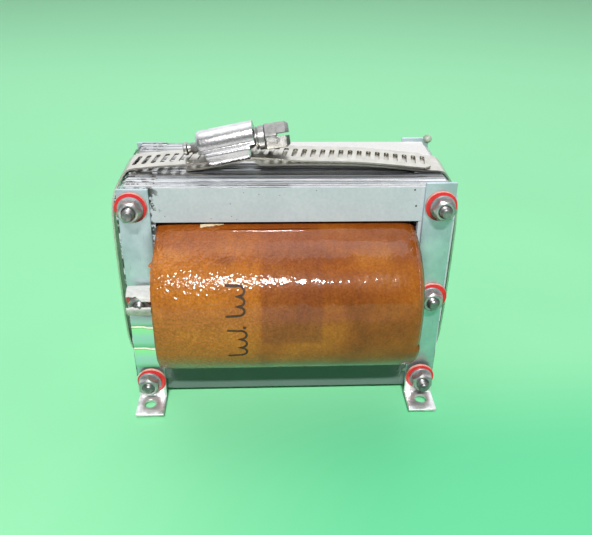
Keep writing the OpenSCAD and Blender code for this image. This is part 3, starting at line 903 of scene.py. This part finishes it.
# ---- Label and bead ----
# A bare slip of white paper lies on the back of the core's top, under the clamp. At the right
# back corner sits a hard grey-green drop.
white_paper = clouded_finish(
    "white_paper", (1200, 3, 0.6), (0.3, (0.73, 0.73, 0.73)), (0.7, (0.82, 0.82, 0.815)),
    height=(0.00003, 0.5), Roughness=0.75,
)
refinish("paper_label", white_paper)
hard_drop = clouded_finish(
    "hard_drop", (500, 3), (0.35, (0.24, 0.30, 0.22)), (0.65, (0.50, 0.56, 0.46)), Roughness=0.35,
)
low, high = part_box("corner_bead")
bm = bmesh.new()
for v in bmesh.ops.create_icosphere(bm, subdivisions=4, radius=1.0)["verts"]:
    uneven = 0.96 + 0.10 * noise.noise(v.co * 1.7 + Vector((3, 1, 2)))
    v.co = (low + high) / 2 + v.co * uneven * (high.x - low.x) / 2
add_piece("corner_drop", bm, "hard_drop", [hard_drop], ("corner_bead",), 60)


# ---- Seal over the middle left nut ----
# A strip of thin white paper was glued over this nut and has been torn across its middle. The
# upper flap hangs like a hood, and the lower one still covers the nut's lower half.
seal_paper, tree, shader, place = new_finish("seal_paper", Roughness=0.45)
px, py, pz = axes(tree, place)
crease = grain(tree, place, 420, 3, 0.6)
seal_x, seal_z = bolt_axis("mid_left")
# Below the bolt's middle the paper's foil side is outwards
shiny = remap(tree, pz, seal_z, seal_z - 0.0007, 0.0, 0.9)
paper = colours(tree, crease, (0.3, (0.50, 0.51, 0.49)), (0.7, (0.64, 0.64, 0.63)))
foil = colours(tree, crease, (0.35, (0.62, 0.40, 0.46)), (0.65, (0.95, 0.66, 0.74)))
tone = mix_colour(tree, shiny, paper, foil)
wire(tree, shader, Base_Color=tone, Metallic=shiny, Normal=bumps(tree, crease, 0.0004, 0.8))
strap_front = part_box("strap_front_left")[0].y


def along_line(line, share):
    """The point a share of the way along a bent line of (y, z) points."""
    at = min(max(share, 0.0), 1.0) * (len(line) - 1)
    k = min(int(at), len(line) - 2)
    return Vector(line[k]).lerp(Vector(line[k + 1]), at - k)


hood = [
    (-0.0011, 0.0058), (-0.0024, 0.0057), (-0.0044, 0.0051), (-0.0060, 0.0040),
    (-0.0067, 0.0026), (-0.0062, 0.0013),
]
apron = [
    (-0.0066, 0.0007), (-0.0071, 0.0004), (-0.0068, -0.0010), (-0.0054, -0.0029),
    (-0.0030, -0.0048), (-0.0004, -0.0063),
]
bm = bmesh.new()
for line, x0, x1 in ((hood, -0.0040, 0.0045), (apron, -0.0041, 0.0041)):
    for v in add_grid(bm, 34, 22):
        across, down = v.co.x + 0.5, v.co.y + 0.5
        x = x0 + across * (x1 - x0)
        tear = 0.035 * lump(across * 6, 0, x0 * 900) + 0.02 * lump(across * 17, 3, x0 * 900)
        if line is hood:
            reach = 0.56 + 0.20 * min(max((across - 0.38) / 0.22, 0.0), 1.0)
            y, z = along_line(line, down * (reach + tear))
        else:
            dip = 0.0008 * max(0.0, 1 - abs(across - 0.56) / 0.10) - 0.010 * tear
            y, z = along_line(line, down)
            z -= dip * max(0.0, 1 - down * 2.2)
        fold = lump(x * 420, z * 420, 1.0)
        free = math.sin(math.pi * min(1.0, down + 0.15))
        v.co = Vector((
            seal_x + x + 0.0001 * fold, strap_front + y - 0.00028 * fold * free, seal_z + z,
        ))
seal = add_piece("torn_seal", bm, "seal_foil", [seal_paper], ("seal_flaps",), 60)
thicken(seal, 0.00018, 0.0)


# ---- Tape on the left strap ----
# Clear greenish tape is wound over the lower part of this strap. It stands off the metal in
# three shallow swellings, and the edge of each turn catches the light.
clear_tape, tree, shader, place = new_finish(
    "clear_tape", Coat_Weight=0.3, Coat_Roughness=0.25, Roughness=0.5,
)
px, py, pz = axes(tree, place)
tape_turns = ((0.0364, 0.0318), (0.0312, 0.0228), (0.0221, 0.0138))
lowest_foot = tape_turns[-1][1]
# down runs from 0 at the top of each turn of the tape to 1 at its foot
down = 0.0
for top, foot in tape_turns:
    below_top = maths(tree, "LESS_THAN", pz, top + 0.0005)
    share = times(tree, remap(tree, pz, top, foot, 0.02, 1.0), below_top)
    down = maths(tree, "ADD", down, share)
    if foot != lowest_foot:
        down = times(tree, down, maths(tree, "GREATER_THAN", pz, foot - 0.00035))
# The colour across each turn is painted reflection of the green mat, yellow-green under its edge
# and teal lower, with painted shade at its foot
tone = colours(
    tree, down, (0.0, (0.30, 0.68, 0.52)), (0.02, (0.24, 0.80, 0.27)),
    (0.28, (0.28, 0.74, 0.40)), (0.45, (0.31, 0.68, 0.52)),
    (0.76, (0.29, 0.68, 0.48)), (1.0, (0.13, 0.54, 0.25)),
)
bare = remap(tree, pz, 0.0324, 0.0334)
tone = mix_colour(tree, bare, tone, (0.58, 0.64, 0.70))
wire(tree, shader, Base_Color=tone, Metallic=bare)
tape_edge = clouded_finish(
    "tape_edge", (900, 2), (0.3, (0.62, 0.66, 0.48)), (0.7, (0.84, 0.84, 0.68)), Roughness=0.4,
)
low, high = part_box("strap_front_left")


def tape_line(share):
    """A place across the strap, and the small step that the tape's edges take there."""
    x = low.x - 0.00018 + share * (high.x - low.x + 0.0003)
    return x, -0.00045 * min(max((x - low.x - 0.0042) / 0.0012, 0.0), 1.0)


bm = bmesh.new()
edges_bm = bmesh.new()
for k, (top, foot) in enumerate(tape_turns):
    for v in add_grid(bm, 20, 14):
        share = v.co.y + 0.5
        x, step = tape_line(v.co.x + 0.5)
        swell = 0.00035 * math.sin(math.pi * share) ** 0.7
        v.co = Vector((x, low.y - 0.00006 - swell, foot + share * (top + step - foot)))
    if k == 0:
        continue
    for v in add_grid(edges_bm, 24, 6):
        x, step = tape_line(v.co.x + 0.5)
        turn = v.co.y * math.pi
        wavy = 0.00008 * lump(x * 900, k * 5.0, 0)
        thick = 0.00036 + 0.00006 * lump(x * 1300, k * 9.0, 4)
        v.co = Vector((
            x, low.y - 0.0001 - thick * math.cos(turn),
            top + 0.0002 + step + wavy + thick * math.sin(turn),
        ))
add_piece("strap_tape", bm, "", [clear_tape], (), 40)
add_piece("strap_tape_edges", edges_bm, "", [tape_edge], (), 60)


# ---- Ink, chip and varnish ----
# Two winding signs are drawn on the wrap in brown ink. A torn chip of cream paper shows at the
# coil's top, the film stands out past its left edge, and varnish has run at the lower right.
ink = clouded_finish(
    "ink", (700, 3), (0.3, (0.025, 0.012, 0.005)), (0.7, (0.070, 0.032, 0.010)), Roughness=0.7,
)


def on_coil(x, z, lift=0.00004):
    """The point of the coil's front at this place across and this height."""
    share = (z - coil_z) / coil_h
    power = (round_top if share > 0 else round_low) / 2
    sine = math.copysign(abs(share) ** power, share)
    return coil_place(x, math.degrees(math.asin(sine)), -lift)


def draw_stroke(bm, points, half):
    """A flat stroke of ink through points of (x, z) on the coil's front."""
    pairs = []
    for k, (x, z) in enumerate(points):
        before, after = points[max(0, k - 1)], points[min(len(points) - 1, k + 1)]
        run = Vector((after[0] - before[0], after[1] - before[1])).normalized() * half
        run *= 0.6 if k in (0, len(points) - 1) else 1.0
        pairs.append([
            bm.verts.new(on_coil(x - sign * run.y, z + sign * run.x)) for sign in (1, -1)
        ])
    for one, other in zip(pairs, pairs[1:]):
        bm.faces.new((one[0], one[1], other[1], other[0]))


stroke_half, dot_half = 0.00038, 0.00050
tail_steps, bow_steps = 6, 12
bm = bmesh.new()
for x0, notch, bulge, top, foot in (
    (-0.0198, -0.0166, -0.0139, 0.0594, 0.0504), (-0.0195, -0.0161, -0.0134, 0.0452, 0.0352),
):
    # A tail, three bows one below the other, and a tail
    line = []
    for k in range(tail_steps + 1):
        share = k / tail_steps
        line.append((x0 + (notch - x0) * share, top - 0.0002 * share ** 2))
    for n in range(3):
        z0, z1 = top + (foot - top) * n / 3, top + (foot - top) * (n + 1) / 3
        for k in range(1, bow_steps + 1):
            arc = math.pi * k / bow_steps
            out = math.sin(arc) ** 0.75 if k < bow_steps else 0.0
            line.append((notch + (bulge - notch) * out, z0 + (z1 - z0) * (1 - math.cos(arc)) / 2))
    for k in range(1, tail_steps + 1):
        share = k / tail_steps
        line.append((notch + (x0 - notch) * share, foot - 0.0002 * share))
    draw_stroke(bm, line, stroke_half)
dot = [(-0.0145, 0.0462), (-0.0142, 0.0463), (-0.0138, 0.0462), (-0.0135, 0.0461)]
draw_stroke(bm, dot, dot_half)
add_piece("winding_signs", bm, "", [ink], (), 60)

specks = bmesh.new()
for x, z, r in (
    (0.0404, 0.0819, 0.00030), (0.0413, 0.0763, 0.00034), (-0.0092, 0.0806, 0.00014),
    (-0.0140, 0.0812, 0.00013), (-0.0026, 0.0802, 0.00012), (-0.0180, 0.0730, 0.00013),
    (-0.0392, 0.0731, 0.00015),
):
    made = bmesh.ops.create_circle(specks, cap_ends=True, segments=14, radius=r)["verts"]
    for v in made:
        wobble = 1 + 0.3 * noise.noise(v.co * 9000 + Vector((x * 900, 0, z * 900)))
        v.co = Vector((x + v.co.x * wobble, core_low.y - 0.00003, z + v.co.y * wobble))
add_piece("dark_specks", specks, "", [ink], (), 60)

cream = clouded_finish(
    "cream_chip", (800, 3), (0.35, (0.56, 0.38, 0.20)), (0.65, (0.80, 0.68, 0.46)), Roughness=0.7,
)
bm = bmesh.new()
for v in add_grid(bm, 18, 5):
    across, down = v.co.x + 0.5, v.co.y + 0.5
    width = 1.9 * (1 - across) ** 0.8 + 0.5 + 0.8 * lump(across * 8, 0, 5)
    angle = 72.5 - (1 - across) * 0.5 - down * width
    v.co = coil_place(-0.0282 + across * 0.0075, angle, -0.00016 - 0.00012 * (1 - down))
add_piece("cream_scrap", bm, "white_paper", [cream], (), 60)

bm = bmesh.new()
for v in add_grid(bm, 3, 60):
    angle = 12 + (v.co.y + 0.5) * 40
    tab = max(0.0, 1 - abs(angle - 43.5) / 2.2)
    reach = 0.0002 + 0.0012 * tab ** 0.6 + 0.00035 * max(0.0, lump(angle / 4, 0, 7))
    if 18 < angle < 43:
        reach += 0.0003
    v.co = coil_place(-coil_half - (0.5 - v.co.x) * reach + 0.0002, angle, 0.00015)
add_piece("film_edge", bm, "varnished_paper", [varnished], (), 60)

varnish = clouded_finish(
    "varnish_run", (600, 3), (0.3, (0.10, 0.20, 0.14)), (0.7, (0.30, 0.40, 0.33)),
    Coat_Weight=1.0, Coat_Roughness=0.08, Roughness=0.4,
)
bm = bmesh.new()
for x, z, proud, size in (
    (0.0440, 0.0100, 0.0002, (0.0013, 0.0006, 0.0009)),
    (0.0424, 0.0088, 0.0, (0.0005, 0.0003, 0.0016)),
    (0.0416, 0.0098, 0.0, (0.0004, 0.0003, 0.0009)),
    (0.0425, 0.0062, 0.0, (0.0003, 0.0002, 0.0019)),
):
    for v in bmesh.ops.create_icosphere(bm, subdivisions=3, radius=1.0)["verts"]:
        bulge = 1 + 0.2 * noise.noise(v.co * 2)
        v.co = Vector((x, core_low.y - proud, z)) + v.co * Vector(size) * bulge
add_piece("varnish_drops", bm, "", [varnish], (), 60)


# ---- Floor and light ----
# A plain pale green mat. A narrow lamp high in front draws the bright streak along the coil, a
# wide faint one hangs over the back, and a soft light comes from all round.
floor_finish, tree, shader, place = new_finish("mat", Roughness=0.6)
shader.inputs["Specular IOR Level"].default_value = 0.2
light_path = add_node(tree, "ShaderNodeLightPath")
mirrored = light_path.outputs["Is Glossy Ray"]
seen = maths(tree, "MAXIMUM", light_path.outputs["Is Camera Ray"], mirrored)
px, py, pz = axes(tree, place)
tone = colours(
    tree, grain(tree, place, 8, 3), (0.3, (0.290, 0.775, 0.425)), (0.7, (0.312, 0.825, 0.450)),
)
# Before the object and to its right it is darkened by a painted soft shadow, and it is paler far
# behind
painted_floor_shade = times(
    tree, remap(tree, px, -0.09, 0.04, smooth=True), remap(tree, py, 0.01, -0.06, smooth=True),
)
tone = mix_colour(tree, painted_floor_shade, tone, (0.148, 0.680, 0.338))
tone = mix_colour(tree, remap(tree, py, 0.0, 0.45), tone, (0.40, 1.0, 0.56))
# Bright metal mirrors a pale grey edge to it, a hand's breadth in front
beyond = times(
    tree, mirrored, remap(tree, py, -0.12, -0.15, smooth=True),
    remap(tree, px, 0.08, 0.0, 0.3, 1.0, smooth=True),
)
tone = mix_colour(tree, beyond, tone, (0.84, 0.84, 0.84))
# The light that it throws back on the object is dimmer than the mat looks
wire(tree, shader, Base_Color=mix_colour(tree, seen, (0.10, 0.40, 0.19), tone))
bm = bmesh.new()
bmesh.ops.create_grid(bm, x_segments=1, y_segments=1, size=4.0)
mesh = bpy.data.meshes.new("mat")
bm.to_mesh(mesh)
bm.free()
mesh.materials.append(floor_finish)
mat = bpy.data.objects.new("mat", mesh)
scene.collection.objects.link(mat)


def lamp(name, rise, distance, x, size, power, colour):
    """An oblong lamp turned to the core, rise degrees up from in front and over to behind."""
    rise = math.radians(rise)
    place = Vector((x, -distance * math.cos(rise), 0.045 + distance * math.sin(rise)))
    data = bpy.data.lights.new(name, "AREA")
    data.shape = "RECTANGLE"
    data.size, data.size_y = size
    data.energy = power
    data.color = colour
    made = bpy.data.objects.new(name, data)
    made.location = place
    made.rotation_euler = (Vector((0, 0, 0.04)) - place).to_track_quat("-Z", "Y").to_euler()
    scene.collection.objects.link(made)


lamp("front_lamp", 47.5, 2.0, -0.04, (0.36, 0.058), 47.0, (1.0, 0.98, 0.97))
lamp("back_lamp", 180 - 74, 1.0, -0.12, (1.20, 0.70), 2.7, (0.98, 1.0, 1.0))

# The room is light where it is seen or mirrored, more so behind, but sheds little light itself
world = bpy.data.worlds.new("world")
world.use_nodes = True
tree = world.node_tree
background = tree.nodes["Background"]
light_path = add_node(tree, "ShaderNodeLightPath")
seen = maths(
    tree, "MAXIMUM", light_path.outputs["Is Camera Ray"], light_path.outputs["Is Glossy Ray"],
)
px, py, pz = axes(tree, add_node(tree, "ShaderNodeTexCoord").outputs["Generated"])
room = times(tree, seen, remap(tree, py, -0.5, 0.85, 0.25, 1.40, smooth=True))
fill = remap(tree, seen, 1.0, 0.0, 0.0, 0.06)
background.inputs["Color"].default_value = (0.94, 0.97, 1.0, 1.0)
feed(tree, background.inputs["Strength"], maths(tree, "ADD", room, fill))
scene.world = world
